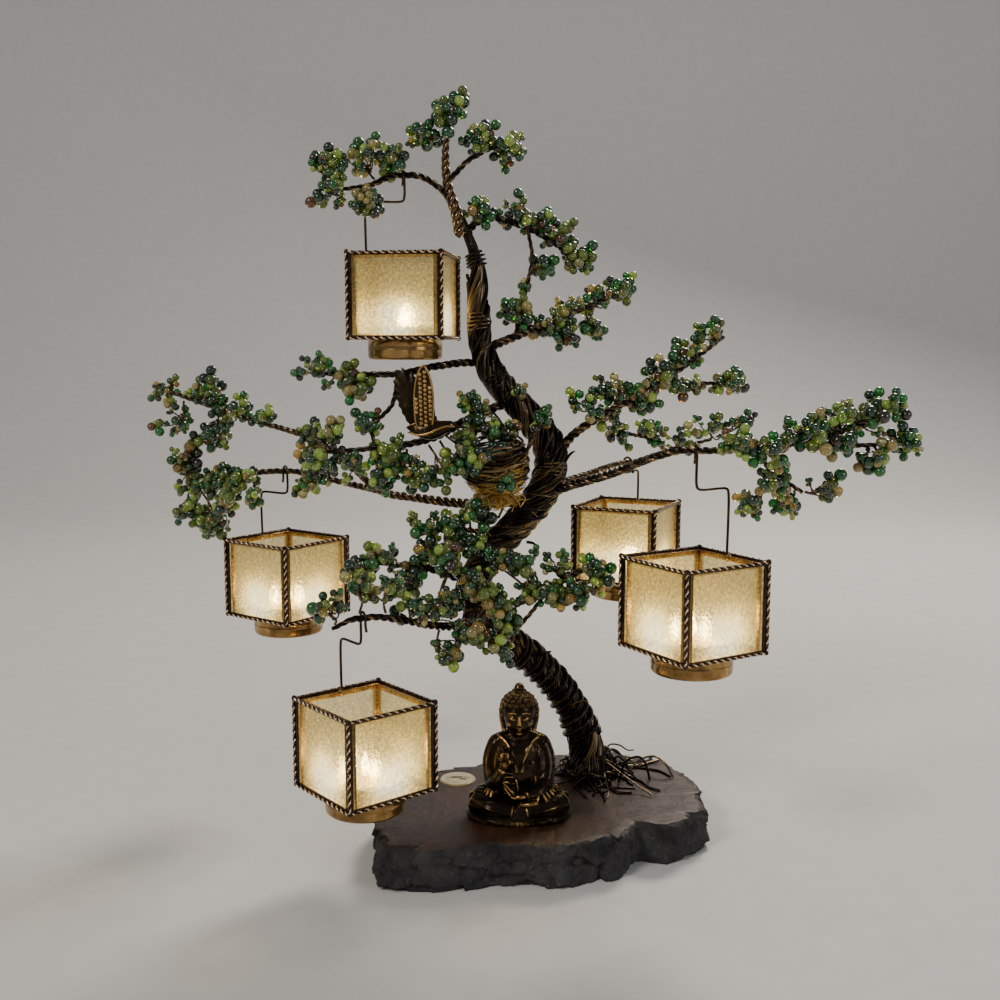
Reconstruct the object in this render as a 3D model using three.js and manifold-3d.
// A bonsai "tree of life" of twisted wire and glass beads, on a rough stone slab,
// with five hanging tea-light lanterns, a seated figure, a bird and a nest.
// Millimetres, +Z up. The origin is the centre of the slab's flat underside.
import * as THREE from "three";
import { mergeVertices } from "three/addons/utils/BufferGeometryUtils.js";
import Module from "manifold-3d";

const wasm = await Module();
wasm.setup();

// ---- Driving sizes ----
const GAP = 0.35; // clearance between neighbouring pieces
const SLAB_T = 22; // stone slab thickness
const SLAB_W = 182; // slab length along X
const SLAB_D = 149; // slab depth along Y
const PLAQUE_D = 20; // round inlay on the slab
const TRUNK_R = 13; // trunk radius at its foot
const WRAP_R = 1.4; // heavy wire wound round the lower trunk
const ROOT_R = 1.9; // root wires
const TWIG_R = 1.9; // branch radius where a lantern hangs
const CUBE_H = 45.3; // lantern height, rim to rim
const POST = 4; // corner post and rail width
const SHEET = 0.8; // brass sheet thickness
const PANE_T = 1.5; // glass thickness
const TEA_D = 38; // tea light diameter
const TEA_ROOM = 6; // from the tea light's rim to the lantern's outer side
const CUBE = TEA_D + 2 * TEA_ROOM; // lantern side
const TEA_H = 16.5; // tea light height
const CUP_DROP = 11; // how far the cup hangs under the lantern floor
const HOOK_R = 0.65; // hook wire radius
const FIGURE_H = 70; // seated figure height
const NEST_R = 16.5; // nest outer radius
const BEAD_R = 2.3; // radius of a beaded string

// ---- Materials ----
const material = (color, metalness, roughness, extra = {}) =>
  new THREE.MeshStandardMaterial({ color, metalness, roughness, ...extra });
const darkWire = material("#3b2f26", 0.9, 0.45);
const bronze = material("#7a5526", 0.9, 0.4);
const brass = material("#6b4d22", 0.9, 0.45);
const stone = material("#3a3634", 0.0, 0.9);
const cream = material("#c9bd9a", 0.0, 0.4);
const greenGlass = material("#1f6b3a", 0.0, 0.15);
const paneGlass = material("#e8e0c8", 0.0, 0.3, { transparent: true, opacity: 0.4 });
const tinCup = material("#c9c9c6", 0.9, 0.35);
const straw = material("#8a6530", 0.5, 0.6);

const group = new THREE.Group();

// ---- Solid helpers ----
const V = (p) => new THREE.Vector3(p[0], p[1], p[2]);

// A closed geometry as a manifold-3d solid.
function solid(geometry) {
  const flat = geometry.index ? geometry.toNonIndexed() : geometry.clone();
  const bare = new THREE.BufferGeometry();
  bare.setAttribute("position", flat.getAttribute("position"));
  const g = mergeVertices(bare, 1e-4);
  return new wasm.Manifold(
    new wasm.Mesh({
      numProp: 3,
      vertProperties: new Float32Array(g.attributes.position.array),
      triVerts: new Uint32Array(g.index.array),
    }),
  );
}

const join = (list) => list.reduce((a, b) => a.add(b));

// The largest body of a solid, so that a crumb left by a cut is dropped.
function main(s) {
  const parts = s.decompose();
  return parts.reduce((a, b) => (a.volume() > b.volume() ? a : b));
}

function add(name, s, mat) {
  const m = main(s).getMesh();
  const n = m.numProp;
  const v = new Float32Array(m.numVert * 3);
  for (let i = 0; i < m.numVert; i++) {
    v.set(m.vertProperties.subarray(i * n, i * n + 3), i * 3);
  }
  const g = new THREE.BufferGeometry();
  g.setAttribute("position", new THREE.BufferAttribute(v, 3));
  g.setIndex(new THREE.BufferAttribute(new Uint32Array(m.triVerts), 1));
  g.computeVertexNormals();
  const mesh = new THREE.Mesh(g, mat);
  mesh.name = name;
  group.add(mesh);
}

// A small repeatable sequence in 0..1.
function sequence(seed) {
  let s = seed;
  return () => {
    s = (s * 16807) % 2147483647;
    return s / 2147483647;
  };
}

const box = (w, d, h, x, y, z) => solid(new THREE.BoxGeometry(w, d, h).translate(x, y, z));

// A cylinder along Z from z0 to z1.
const rod = (r, z0, z1, sides = 18) =>
  solid(
    new THREE.CylinderGeometry(r, r, z1 - z0, sides)
      .rotateX(Math.PI / 2)
      .translate(0, 0, (z0 + z1) / 2),
  );

const ball = (r, p, scale = [1, 1, 1]) =>
  solid(
    new THREE.IcosahedronGeometry(r, 1)
      .scale(scale[0], scale[1], scale[2])
      .translate(p[0], p[1], p[2]),
  );

// A coarse lump that stands for a cluster of beads.
const cluster = (r, p, scale, turn) =>
  solid(
    new THREE.IcosahedronGeometry(r * 1.1)
      .rotateZ(turn)
      .scale(scale[0], scale[1], scale[2])
      .translate(p[0], p[1], p[2]),
  );

// A tapered wire along a smooth curve through the points. `lobes` ridges wind round it `turns`
// times, like strands laid in a rope. `grow` adds to every radius.
function wire(points, radii, opt = {}) {
  const { sides = 6, steps = 4, lobes = 0, turns = 0, depth = 0.12, grow = 0 } = opt;
  const curve = new THREE.CatmullRomCurve3(points.map(V), false, "centripetal");
  const count = (points.length - 1) * steps;
  const verts = [];
  const faces = [];
  const tangent = curve.getTangent(0);
  let side = new THREE.Vector3(0, 0, 1).cross(tangent);
  if (side.length() < 0.1) side = new THREE.Vector3(0, 1, 0).cross(tangent);
  side.normalize();
  for (let i = 0; i <= count; i++) {
    const t = i / count;
    const c = curve.getPoint(t);
    const d = curve.getTangent(t);
    side.addScaledVector(d, -side.dot(d)).normalize();
    const up = d.clone().cross(side);
    const at = t * (radii.length - 1);
    const k = Math.min(Math.floor(at), radii.length - 2);
    const base = radii[k] + (radii[k + 1] - radii[k]) * (at - k);
    for (let j = 0; j < sides; j++) {
      const a = (j / sides) * 2 * Math.PI;
      const ridge = lobes ? depth * Math.cos(lobes * (a - turns * 2 * Math.PI * t)) : 0;
      const r = base * (1 + ridge) + grow;
      const p = c.clone().addScaledVector(side, r * Math.cos(a));
      p.addScaledVector(up, r * Math.sin(a));
      verts.push(p.x, p.y, p.z);
    }
  }
  for (let i = 0; i < count; i++) {
    for (let j = 0; j < sides; j++) {
      const a = i * sides + j;
      const b = i * sides + ((j + 1) % sides);
      faces.push(a, b, a + sides, b, b + sides, a + sides);
    }
  }
  for (const [ring, flip] of [[0, true], [count, false]]) {
    const mid = verts.length / 3;
    const c = curve.getPoint(ring / count);
    verts.push(c.x, c.y, c.z);
    for (let j = 0; j < sides; j++) {
      const a = ring * sides + j;
      const b = ring * sides + ((j + 1) % sides);
      faces.push(...(flip ? [mid, b, a] : [mid, a, b]));
    }
  }
  const g = new THREE.BufferGeometry();
  g.setAttribute("position", new THREE.Float32BufferAttribute(verts, 3));
  g.setIndex(faces);
  return solid(g);
}

// ---- Stone slab and its inlay ----
// A level outline corner every few degrees, as shares of the half length and half depth.
const SLAB_OUTLINE = [
  [-0.97, -0.55], [-0.9, -0.9], [-0.6, -0.96], [-0.3, -0.86], [0.05, -0.9], [0.3, -0.8],
  [0.42, -0.74], [0.56, -0.46], [0.68, -0.54], [0.8, -0.46], [0.97, -0.24], [1, 0.1],
  [0.97, 0.38], [0.82, 0.76], [0.62, 0.92], [0.42, 1], [0.1, 0.9], [-0.25, 0.74],
  [-0.64, 0.56], [-0.88, 0.3], [-0.99, -0.1],
];

function slabSolid() {
  const rnd = sequence(11);
  const levels = [[0, 0.97], [0.3, 1.0], [0.68, 0.97], [1, 0.94]];
  const n = SLAB_OUTLINE.length;
  const verts = [];
  const faces = [];
  levels.forEach(([share, scale]) => {
    SLAB_OUTLINE.forEach(([x, y]) => {
      const k = scale - 0.045 * rnd();
      verts.push(((x * SLAB_W) / 2) * k, ((y * SLAB_D) / 2) * k, share * SLAB_T);
    });
  });
  for (let i = 0; i < levels.length - 1; i++) {
    for (let j = 0; j < n; j++) {
      const a = i * n + j;
      const b = i * n + ((j + 1) % n);
      faces.push(a, b, a + n, b, b + n, a + n);
    }
  }
  const top = (levels.length - 1) * n;
  verts.push(0, 0, 0, 0, 0, SLAB_T);
  for (let j = 0; j < n; j++) {
    faces.push(verts.length / 3 - 2, (j + 1) % n, j);
    faces.push(verts.length / 3 - 1, top + j, top + ((j + 1) % n));
  }
  const g = new THREE.BufferGeometry();
  g.setAttribute("position", new THREE.Float32BufferAttribute(verts, 3));
  g.setIndex(faces);
  return solid(g);
}

const PLAQUE_AT = [-47, 23];
const POCKET = 1; // depth of the inlay's seat
const plaqueAt = (s) => s.translate(PLAQUE_AT[0], PLAQUE_AT[1], SLAB_T - POCKET);
const pocket = plaqueAt(rod(PLAQUE_D / 2 + GAP, 0, POCKET + 1, 28));
add("stone_slab", slabSolid().subtract(pocket), stone);

function plaqueSolid() {
  const r = PLAQUE_D / 2;
  const dome = new THREE.LatheGeometry(
    [[0, GAP], [r, GAP], [r, POCKET + 0.4], [r * 0.7, POCKET + 1.3], [0, POCKET + 1.8]].map(
      ([x, y]) => new THREE.Vector2(x, y),
    ),
    28,
  );
  return plaqueAt(solid(dome.rotateX(Math.PI / 2)));
}
add("inlay_plaque", plaqueSolid(), cream);

// ---- Trunk ----
const FOOT = SLAB_T + GAP;
const TRUNK = [
  [30, 36, 12], [27, 34, 36], [20, 32, 58], [9, 29, 76], [-5, 24, 92], [-21, 17, 107],
  [-34, 11, 124], [-36, 8, 141], [-29, 8, 155], [-17, 10, 168], [-4, 14, 182], [4, 18, 197],
  [3, 20, 214], [-9, 22, 231], [-24, 25, 247], [-33, 29, 267], [-35, 31, 292],
  [-36, 31, 313], [-44, 30, 335],
];
const TRUNK_SHARE = [
  1.12, 0.84, 0.68, 0.64, 0.63, 0.65, 0.68, 0.68, 0.66, 0.66, 0.7, 0.72, 0.68, 0.64, 0.58,
  0.52, 0.46, 0.4, 0.32,
];
const trunkRadii = TRUNK_SHARE.map((s) => s * TRUNK_R);
const trunkOf = (grow) =>
  wire(TRUNK, trunkRadii, { sides: 12, steps: 2, lobes: 4, turns: 5, depth: 0.09, grow });
const underground = box(400, 400, 60, 0, 0, FOOT - 30);
const trunk = trunkOf(0).subtract(underground);
const trunkRoom = trunkOf(2 * GAP);
add("trunk_bundle", trunk, darkWire);

// The heavy wire wound round the lower trunk, ridge on ridge.
function windingPoints(from, to, turns, lift, steps) {
  const curve = new THREE.CatmullRomCurve3(TRUNK.map(V), false, "centripetal");
  const out = [];
  let side = new THREE.Vector3(1, 0, 0);
  for (let i = 0; i <= turns * steps; i++) {
    const t = from + ((to - from) * i) / (turns * steps);
    const c = curve.getPoint(t);
    const d = curve.getTangent(t);
    side.addScaledVector(d, -side.dot(d)).normalize();
    const up = d.clone().cross(side);
    const at = t * (trunkRadii.length - 1);
    const k = Math.min(Math.floor(at), trunkRadii.length - 2);
    const r = (trunkRadii[k] + (trunkRadii[k + 1] - trunkRadii[k]) * (at - k)) * 1.09 + lift;
    const a = (i / steps) * 2 * Math.PI;
    c.addScaledVector(side, r * Math.cos(a)).addScaledVector(up, r * Math.sin(a));
    out.push([c.x, c.y, c.z]);
  }
  return out;
}
const windings = windingPoints(0.105, 0.29, 7, WRAP_R + GAP + 0.4, 8);
const winding = (grow) => wire(windings, [WRAP_R, WRAP_R], { sides: 5, steps: 1, grow });
add("trunk_wrap", winding(0), darkWire);

// ---- Roots: a ring of wire round the trunk's foot, with wires running out over the slab ----
function rootSolid() {
  const z = FOOT + ROOT_R;
  const ring = [];
  const major = TRUNK_R * 1.12 * 1.1 + ROOT_R + 1.6;
  for (let i = 0; i <= 24; i++) {
    const a = (i / 24) * 2 * Math.PI;
    ring.push([28.9 + major * Math.cos(a), 35.2 + major * Math.sin(a), z]);
  }
  const torus = new THREE.TorusGeometry(major, ROOT_R, 5, 20).translate(28.9, 35.2, z);
  const runs = [
    [-95, 26, 4], [-62, 34, 3], [-35, 38, 8], [-5, 30, 7], [60, 20, 4], [130, 18, 4],
    [190, 24, 6], [228, 30, 3],
  ];
  const wires = runs.map(([degrees, length, arch]) => {
    const a = (degrees * Math.PI) / 180;
    const at = (r, turn, h) => [
      28.9 + r * Math.cos(a + turn),
      35.2 + r * Math.sin(a + turn),
      z + h,
    ];
    return wire(
      [
        at(major - 0.5, 0, 0),
        at(major + length * 0.3, 0.05, arch),
        at(major + length * 0.65, -0.05, arch * 0.6),
        at(major + length, 0.06, 0),
      ],
      [ROOT_R, ROOT_R * 0.9, ROOT_R * 0.6],
      { sides: 4, steps: 2 },
    );
  });
  return main(join([solid(torus), ...wires]).subtract(underground)).simplify(0.15);
}
add("root_wires", rootSolid(), darkWire);

// ---- Where the lanterns hang ----
// at: the centre of the branch under the hook. yaw: turn of the cube. run: direction of the
// branch there. foot: direction, from the cube's centre, of the rim the hook is soldered to.
// drop: from the branch's centre down to the rim. jog: the hook's step above the rim.
const LANTERNS = {
  top: { at: [-74.5, 26, 357], yaw: 82, run: 178, foot: 172, drop: 41.4, jog: 28 },
  left: { at: [-149, 66, 194], yaw: 53.6, run: 170, foot: 143.6, drop: 39.4, jog: 26 },
  front: { at: [-90, -55, 134.5], yaw: 39.6, run: 208, foot: 129.6, drop: 40.9, jog: 27 },
  right: { at: [71, -56, 217], yaw: 30.8, run: -18, foot: 30.8, drop: 52.4, jog: 33 },
  back: { at: [53, 77, 198], yaw: 65.6, run: 42, foot: 65.6, drop: 24.4, jog: 18 },
};
const radians = (a) => (a * Math.PI) / 180;
const heading = (a) => [Math.cos(radians(a)), Math.sin(radians(a)), 0];
const along = (p, d, k) => [p[0] + d[0] * k, p[1] + d[1] * k, p[2] + d[2] * k];

// The level stretch of branch a hook rests on.
function seat(name) {
  const { at, run } = LANTERNS[name];
  const d = heading(run);
  return [along(at, d, -6), at, along(at, d, 6)];
}

// ---- Branches: each bough is one twisted wire limb that forks ----
const R0 = TWIG_R;
const BOUGHS = {
  crown: {
    stems: [
      [[[-46, 30, 336], [-51, 28, 352], [-52, 26, 370], [-49, 24, 388]], [4, 2.6, 1.4]],
      [[[-49, 29, 342], [-59, 27, 353], ...seat("top"), [-91, 24, 352], [-108, 22, 349]],
        [2, R0, R0, R0, 1.1]],
      [[[-51, 28, 354], [-39, 30, 366], [-26, 34, 373], [-15, 36, 377]], [1.8, 1.1]],
    ],
    strings: [
      [[-49, 24, 389, 11], [-33, 31, 376, 12], [-17, 36, 372, 10]],
      [[-49, 24, 389, 9], [-64, 26, 377, 8], [-80, 25, 366, 10], [-95, 24, 366, 11],
        [-116, 21, 362, 10], [-113, 18, 347, 9], [-93, 7, 341, 8]],
    ],
  },
  upper_right: {
    stems: [
      [[[-42, 30, 328], [-30, 38, 336], [-12, 46, 333], [6, 54, 325], [20, 60, 314]],
        [2.2, 1.2]],
      [[[-34, 28, 264], [-14, 40, 272], [5, 50, 280], [25, 60, 288], [45, 66, 297]],
        [2.6, 1.2]],
      [[[-14, 40, 272], [-12, 46, 286], [-8, 50, 300], [-5, 50, 316], [-8, 47, 332]],
        [1.6, 1.2]],
    ],
    strings: [
      [[-36, 36, 341, 9], [-16, 44, 341, 10], [-1, 54, 336, 9], [11, 54, 327, 9],
        [22, 60, 314, 9], [2, 52, 310, 7], [-8, 50, 300, 5]],
      [[-8, 50, 300, 5], [-14, 44, 286, 9], [5, 50, 278, 9], [14, 55, 288, 9],
        [30, 62, 294, 10], [46, 66, 299, 9], [31, 60, 276, 8], [14, 54, 272, 7]],
    ],
  },
  upper_left: {
    stems: [
      [[[-34, 28, 257], [-56, 20, 256], [-77, 10, 252], [-104, 8, 252], [-122, 10, 252]],
        [2.2, 1.1]],
      [[[-14, 22, 237], [-39, 12, 228], [-60, 2, 218], [-84, -4, 214], [-116, -10, 212]],
        [2.6, 1.2]],
      [[[-77, 10, 252], [-80, 4, 236], [-90, -2, 224], [-88, -4, 214]], [1.5, 1.2]],
    ],
    strings: [
      [[-122, 10, 256, 8], [-107, 8, 250, 9], [-98, 4, 244, 7], [-92, -2, 226, 8]],
      [[-92, -2, 226, 7], [-112, -8, 221, 9], [-118, -10, 208, 8], [-101, -8, 205, 10],
        [-86, -4, 196, 9], [-70, -2, 200, 10], [-54, -6, 200, 8]],
      [[-92, -2, 226, 7], [-82, -4, 211, 9], [-70, -2, 200, 8]],
    ],
  },
  far_left: {
    stems: [
      [[[-6, 14, 184], [-40, 28, 180], [-70, 38, 182], [-91, 45, 185], [-115, 55, 204],
        [-133, 60, 214], [-176, 72, 226], [-213, 80, 238], [-228, 84, 243]], [3, 2.2, 1.2]],
      [[[-91, 45, 185], [-116, 57, 189], ...seat("left"), [-182, 70, 191],
        [-208, 74, 184]], [2.2, R0, R0, R0, 1.1]],
    ],
    strings: [
      [[-134, 58, 216, 7], [-160, 66, 226, 7], [-181, 73, 228, 11], [-199, 78, 240, 11],
        [-222, 82, 240, 9], [-215, 80, 221, 11], [-194, 78, 214, 10], [-210, 77, 200, 10],
        [-203, 75, 183, 11], [-208, 74, 168, 9], [-193, 80, 160, 7]],
      [[-203, 75, 183, 9], [-187, 72, 188, 9]],
      [[-134, 58, 216, 6], [-133, 58, 205, 6], [-128, 60, 195, 8]],
    ],
  },
  right: {
    stems: [
      [[[7, 20, 202], [16, 26, 217], [34, 32, 229], [66, 40, 246], [92, 46, 264],
        [103, 48, 272]], [2.8, 1.2]],
      [[[8, 20, 190], [28, 44, 195], ...seat("back"), [78, 86, 204], [105, 90, 211]],
        [2.4, R0, R0, R0, 1.1]],
      [[[34, 32, 229], [44, 52, 224], [52, 72, 216], [66, 81, 212], [78, 86, 204]], [1.5, 1.2]],
      [[[66, 40, 246], [88, 44, 246], [106, 46, 246]], [1.5, 1.1]],
    ],
    strings: [
      [[24, 30, 236, 8], [38, 33, 243, 10], [56, 38, 239, 10], [68, 41, 250, 10],
        [84, 45, 263, 8], [94, 47, 274, 8]],
      [[56, 38, 239, 8], [84, 44, 245, 9], [105, 46, 246, 8]],
      [[38, 33, 243, 8], [40, 50, 228, 8], [46, 66, 217, 8], [66, 79, 217, 9],
        [84, 86, 211, 10], [104, 88, 218, 10], [124, 90, 220, 7]],
    ],
  },
  far_right: {
    stems: [
      [[[9, 13, 190], [33, -16, 201], [53, -46, 213], ...seat("right"), [97, -61, 218],
        [122, -56, 221], [152, -48, 229], [174, -42, 239]],
        [2.8, 2.4, R0, R0, R0, 1.7, 1.2]],
      [[[122, -56, 221], [150, -52, 219], [180, -46, 221]], [1.5, 1.1]],
      [[[97, -61, 218], [109, -54, 206], [124, -50, 196]], [1.5, 1.1]],
    ],
    strings: [
      [[88, -66, 221, 8], [103, -67, 217, 9], [120, -64, 226, 10], [136, -56, 232, 10],
        [152, -48, 230, 10], [167, -44, 238, 9]],
      [[136, -52, 232, 8], [142, -52, 220, 9], [158, -50, 212, 9], [175, -46, 220, 10]],
      [[103, -67, 217, 8], [108, -58, 202, 9], [98, -53, 190, 8], [116, -50, 190, 9],
        [134, -50, 197, 8]],
    ],
  },
  low_left: {
    stems: [
      [[[-38, 9, 136], [-55, 0, 147], [-76, -8, 152], [-98, -14, 156]], [2.4, 1.2]],
      [[[-22, 8, 162], [-36, 3, 168], [-52, -2, 170], [-66, -5, 168]], [2.2, 1.2]],
      [[[-55, 0, 147], [-52, -2, 158], [-52, -2, 170]], [1.5, 1.3]],
    ],
    strings: [
      [[-95, -14, 151, 9], [-84, -10, 157, 9], [-74, -9, 146, 9], [-62, -4, 158, 7],
        [-52, -3, 160, 9], [-47, -4, 173, 9], [-62, -5, 173, 9], [-34, -5, 180, 8]],
      [[-52, -3, 160, 7], [-36, -4, 162, 8]],
    ],
  },
  front: {
    stems: [
      [[[-38, 8, 130], [-42, -15, 122], [-59, -34, 126], [-74, -46, 132], ...seat("front"),
        [-104, -63, 131]], [3, 2.4, R0, R0, R0, R0, 1.1]],
      [[[-32, 8, 122], [-16, -12, 132], [3, -24, 144], [20, -28, 154], [27, -30, 158]],
        [2.6, 1.2]],
      [[[-42, -15, 122], [-34, -28, 118], [-22, -33, 118], [-8, -28, 130], [3, -24, 144]],
        [1.5, 1.2]],
    ],
    strings: [
      [[-106, -62, 142, 8], [-92, -52, 151, 9], [-78, -46, 148, 9], [-66, -42, 137, 9],
        [-52, -38, 134, 10], [-38, -34, 122, 10], [-50, -38, 112, 8]],
      [[-38, -34, 122, 9], [-24, -34, 115, 9], [-20, -30, 127, 8], [-10, -26, 140, 8],
        [2, -28, 141, 9], [14, -30, 140, 8], [24, -32, 145, 7]],
      [[2, -28, 141, 8], [6, -26, 157, 9], [-10, -22, 156, 9]],
      [[24, -32, 145, 6], [26, -30, 156, 7]],
    ],
  },
};

// Room a lantern's hook needs at its seat, swinging included.
const hookRoom = join(
  Object.values(LANTERNS).map(({ at, run }) => {
    const bar = new THREE.BoxGeometry(5, 22, 26).rotateZ(radians(run));
    return solid(bar.translate(at[0], at[1], at[2] - 8));
  }),
);

let seed = 3;
for (const [name, { stems, strings }] of Object.entries(BOUGHS)) {
  const limb = (grow, sides, steps) =>
    join(stems.map(([p, r]) => wire(p, r, { sides, steps, grow })));
  add("bough_" + name, main(limb(0, 6, 3).subtract(trunkRoom)).simplify(0.04), darkWire);
  const rnd = sequence((seed += 7));
  const pieces = strings.flatMap((points) => {
    const lumps = points.map(([x, y, z, r]) => {
      const scale = [0.95 + 0.25 * rnd(), 0.9 + 0.2 * rnd(), 0.72 + 0.15 * rnd()];
      return cluster(r, [x, y, z], scale, 6 * rnd());
    });
    return [wire(points, [BEAD_R, BEAD_R], { sides: 4, steps: 1 }), ...lumps];
  });
  const room = limb(4 * GAP, 5, 2).add(trunkRoom).add(hookRoom);
  const cut = main(join(pieces).simplify(0.9).subtract(room)).simplify(0.8);
  add("beads_" + name, cut, greenGlass);
}

// ---- Lantern parts, in the cube's own frame: origin at the floor's centre, Z up ----
const inner = CUBE / 2 - SHEET;

function frameSolid() {
  const shell = box(CUBE, CUBE, CUBE_H, 0, 0, CUBE_H / 2).subtract(
    box(2 * inner, 2 * inner, CUBE_H + 2, 0, 0, CUBE_H / 2 + SHEET + 1),
  );
  const opening = CUBE - 2 * POST;
  const window = (w, d) => box(w, d, CUBE_H - 2 * POST, 0, 0, CUBE_H / 2);
  const cupR = TEA_D / 2 + GAP;
  const cup = rod(cupR + SHEET, -CUP_DROP, SHEET).subtract(rod(cupR, -CUP_DROP + SHEET, 4));
  return shell
    .subtract(window(opening, CUBE + 4))
    .subtract(window(CUBE + 4, opening))
    .subtract(rod(cupR, -4, 4))
    .add(cup);
}

function paneSolid(turn) {
  const across = turn % 180 === 0;
  const reach = inner - GAP;
  const width = 2 * (across ? reach : reach - PANE_T - GAP);
  const bottom = SHEET + GAP;
  const height = CUBE_H - 1.8 - bottom;
  const pane = box(width, PANE_T, height, 0, reach - PANE_T / 2, bottom + height / 2);
  return pane.rotate([0, 0, turn]);
}

function teaSolid() {
  const r = TEA_D / 2;
  const z = -CUP_DROP + SHEET + GAP;
  const profile = [
    [0, 0], [r, 0], [r, TEA_H], [r - 0.7, TEA_H], [r - 0.7, TEA_H - 2.2], [1, TEA_H - 2.8],
    [0.8, TEA_H + 2], [0, TEA_H + 2],
  ];
  const turned = new THREE.LatheGeometry(profile.map(([x, y]) => new THREE.Vector2(x, y)), 18);
  return solid(turned.rotateX(Math.PI / 2)).translate(0, 0, z);
}

// The hook in world turn, with the hinge (the branch's centre) as its origin.
function hookSolid({ run, foot, drop, jog }) {
  const f = heading(foot);
  const far = inner - GAP - PANE_T - GAP - HOOK_R - 0.3;
  const cross = heading(run + 90);
  const sign = cross[0] * f[0] + cross[1] * f[1] > 0 ? 1 : -1;
  const n = cross.map((c) => c * sign);
  const arc = TWIG_R + GAP + 0.25 + HOOK_R;
  const up = (p, z) => [p[0], p[1], p[2] + z];
  const spot = (d, k, z) => up(along([0, 0, 0], d, k), z);
  const step = -drop + jog;
  const points = [
    spot(f, far, -drop - 3), spot(f, far, -drop), spot(f, far, step - 2.5),
    spot(f, far - 0.7, step - 0.7), spot(f, far - 2.5, step),
    up(along(along([0, 0, 0], f, 2.2), n, arc * 0.9), step),
    up(along(along([0, 0, 0], f, 0.6), n, arc), step + 0.8), spot(n, arc, step + 2.6),
    spot(n, arc, -0.4),
  ];
  for (let a = 30; a <= 150; a += 30) {
    points.push(spot(n, arc * Math.cos(radians(a)), arc * Math.sin(radians(a))));
  }
  points.push(spot(n, -arc, -1), spot(n, -arc - 0.2, -3.5), spot(n, -arc - 1.4, -6));
  const bent = wire(points, [HOOK_R, HOOK_R], { sides: 5, steps: 2 }).simplify(0.03);
  const reach = inner - GAP - far;
  const tab = solid(
    new THREE.BoxGeometry(reach, 4, 1)
      .translate(far + reach / 2, 0, 0)
      .rotateZ(radians(foot))
      .translate(0, 0, -drop - 0.7),
  );
  return bent.add(tab);
}

for (const [name, spec] of Object.entries(LANTERNS)) {
  const { at, yaw, drop } = spec;
  const place = (s) =>
    s.rotate([0, 0, yaw]).translate(at[0], at[1], at[2] - drop - CUBE_H);
  add(`lantern_${name}_frame`, place(frameSolid()), brass);
  [0, 90, 180, 270].forEach((turn, i) => {
    add(`lantern_${name}_pane_${i + 1}`, place(paneSolid(turn)), paneGlass);
  });
  add(`lantern_${name}_tealight`, place(teaSolid()), tinCup);
  add(`lantern_${name}_hook`, hookSolid(spec).translate(at[0], at[1], at[2]), darkWire);
}

// ---- Seated figure, facing -Y ----
function figureSolid() {
  const k = FIGURE_H / 70;
  const base = FOOT;
  const limb = (p, r) => wire(p.map((q) => q.map((c) => c * k)), r.map((c) => c * k), {
    sides: 6, steps: 2,
  });
  const lump = (r, p, s) => {
    const g = new THREE.SphereGeometry(r * k, 8, 6).rotateX(Math.PI / 2);
    return solid(g.scale(s[0], s[1], s[2]).translate(p[0] * k, p[1] * k, p[2] * k));
  };
  const parts = [
    lump(24, [0, 2, 7], [1, 0.82, 0.36]), // folded robe on the ground
    lump(13, [0, 4, 20], [1, 0.78, 1.25]), // waist
    lump(13, [0, 3, 33], [1, 0.7, 0.85]), // chest
    lump(5.2, [0, 2.5, 44], [1, 1, 1.3]), // neck
    lump(9.7, [0, 0.5, 54.5], [0.97, 1, 1.12]), // head
    lump(4, [0, 1.5, 65], [1, 1, 0.9]), // top knot
    lump(1.9, [0, 1.5, 68.4], [1, 1, 1]), // jewel on the knot
  ];
  for (const s of [-1, 1]) {
    parts.push(lump(5, [s * 11, 3, 39], [1, 0.95, 0.8])); // shoulder
    parts.push(lump(1.6, [s * 9.2, 1.5, 51], [0.7, 1, 3])); // ear
    parts.push(limb([[s * 12, 3, 38], [s * 14.6, 0, 27], [s * 13.5, -8, 18]], [4.4, 4.2, 3.8]));
    parts.push(limb([[s * 8, 2, 9], [s * 23, -4, 7.5], [s * 4, -15, 7]], [6, 5.4, 4])); // leg
  }
  parts.push(limb([[13.5, -8, 18], [9, -13, 15], [1, -14, 13.5]], [3.2, 2.8, 2.2]));
  parts.push(limb([[-13.5, -8, 18], [-11, -12, 24], [-8, -13, 30]], [3.2, 2.8, 2.2]));
  parts.push(lump(3, [-7.5, -13.4, 33], [0.8, 0.5, 1.2])); // raised hand
  const placed = join(parts).translate(-13, -24, base - 0.2);
  return main(placed.subtract(box(400, 400, 60, 0, 0, base - 30))).simplify(0.5);
}
add("seated_figure", figureSolid(), bronze);

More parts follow.
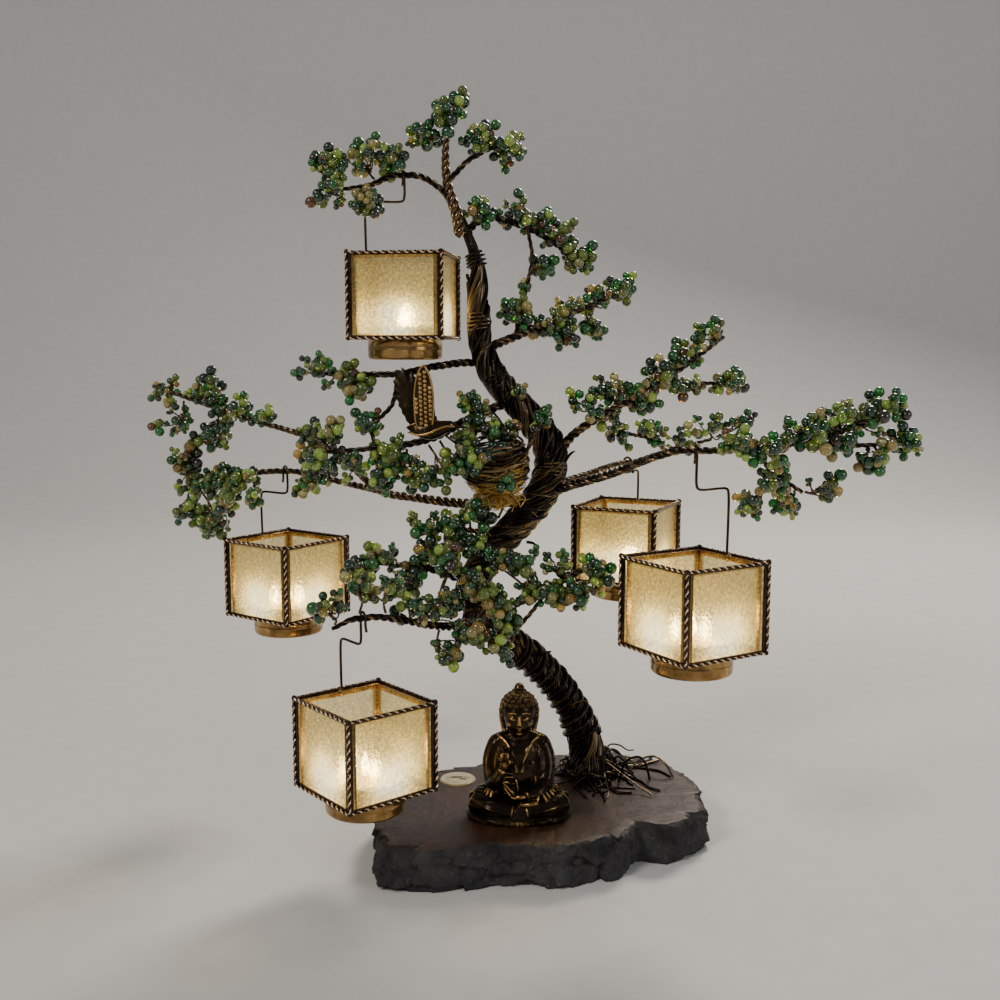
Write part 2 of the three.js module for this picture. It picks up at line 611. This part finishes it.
// ---- Nest against the trunk's bend, and the bird beside it ----
const NEST_AT = [-23, -1, 189];
function nestSolid() {
  const r = NEST_R;
  const profile = [
    [0, 0], [r * 0.55, 1.5], [r * 0.9, r * 0.5], [r, r * 1.2], [r * 0.93, r * 1.7],
    [r * 0.8, r * 1.75], [r * 0.82, r * 1.2], [r * 0.7, r * 0.6], [r * 0.4, 4.5], [0, 4],
  ];
  const turned = new THREE.LatheGeometry(profile.map(([x, y]) => new THREE.Vector2(x, y)), 20);
  const bowl = solid(turned.rotateX(Math.PI / 2)).scale([1, 0.8, 1]).rotate([12, -8, 0]);
  return bowl.translate(NEST_AT[0], NEST_AT[1], NEST_AT[2]);
}
const boughRoom = join(
  Object.values(BOUGHS).flatMap(({ stems }) =>
    stems.map(([p, r]) => wire(p, r, { sides: 6, steps: 3, grow: GAP })),
  ),
);
const nestRaw = nestSolid().subtract(trunkRoom).subtract(boughRoom);
add("nest", nestRaw, straw);

function birdSolid() {
  // A raised wing: a leaf in outline. lean tips it back, side is near or far.
  const wing = (side, tall, lean, wide) => {
    const edge = [
      [-3, -3], [4, -3], [6, 9], [6.5, 20], [5, 29], [1, 35], [-3, 29], [-5, 19], [-5, 8],
    ];
    const shape = new THREE.Shape();
    edge.forEach(([x, y], i) => {
      if (i) shape.lineTo(x * wide, y * tall);
      else shape.moveTo(x * wide, y * tall);
    });
    const g = new THREE.ExtrudeGeometry(shape, { depth: 1.6, bevelEnabled: false });
    g.rotateX(Math.PI / 2).rotateX(radians(-9 * side)).rotateY(radians(lean));
    return solid(g.translate(-4, side * 2.4 + 0.8, 2));
  };
  const beak = new THREE.ConeGeometry(1, 7, 8).rotateZ(-Math.PI / 2).translate(13, 0, 4.6);
  const tail = new THREE.ConeGeometry(4.4, 12, 8).rotateZ(Math.PI / 2).scale(1, 1, 0.3);
  const parts = [
    ball(6, [-1, 0, 0], [1.6, 0.75, 0.9]),
    ball(3.4, [8, 0, 4], [1, 0.85, 0.95]),
    solid(beak),
    solid(tail.rotateZ(Math.PI).rotateY(radians(-14)).translate(-10.5, 0, -2)),
    wing(-1, 0.92, 0, 0.85),
    wing(1, 0.92, -27, 1.3),
  ];
  return join(parts).rotate([0, 0, -6]).translate(-58, -12, 223);
}
add("bird", birdSolid(), bronze);

export default group;
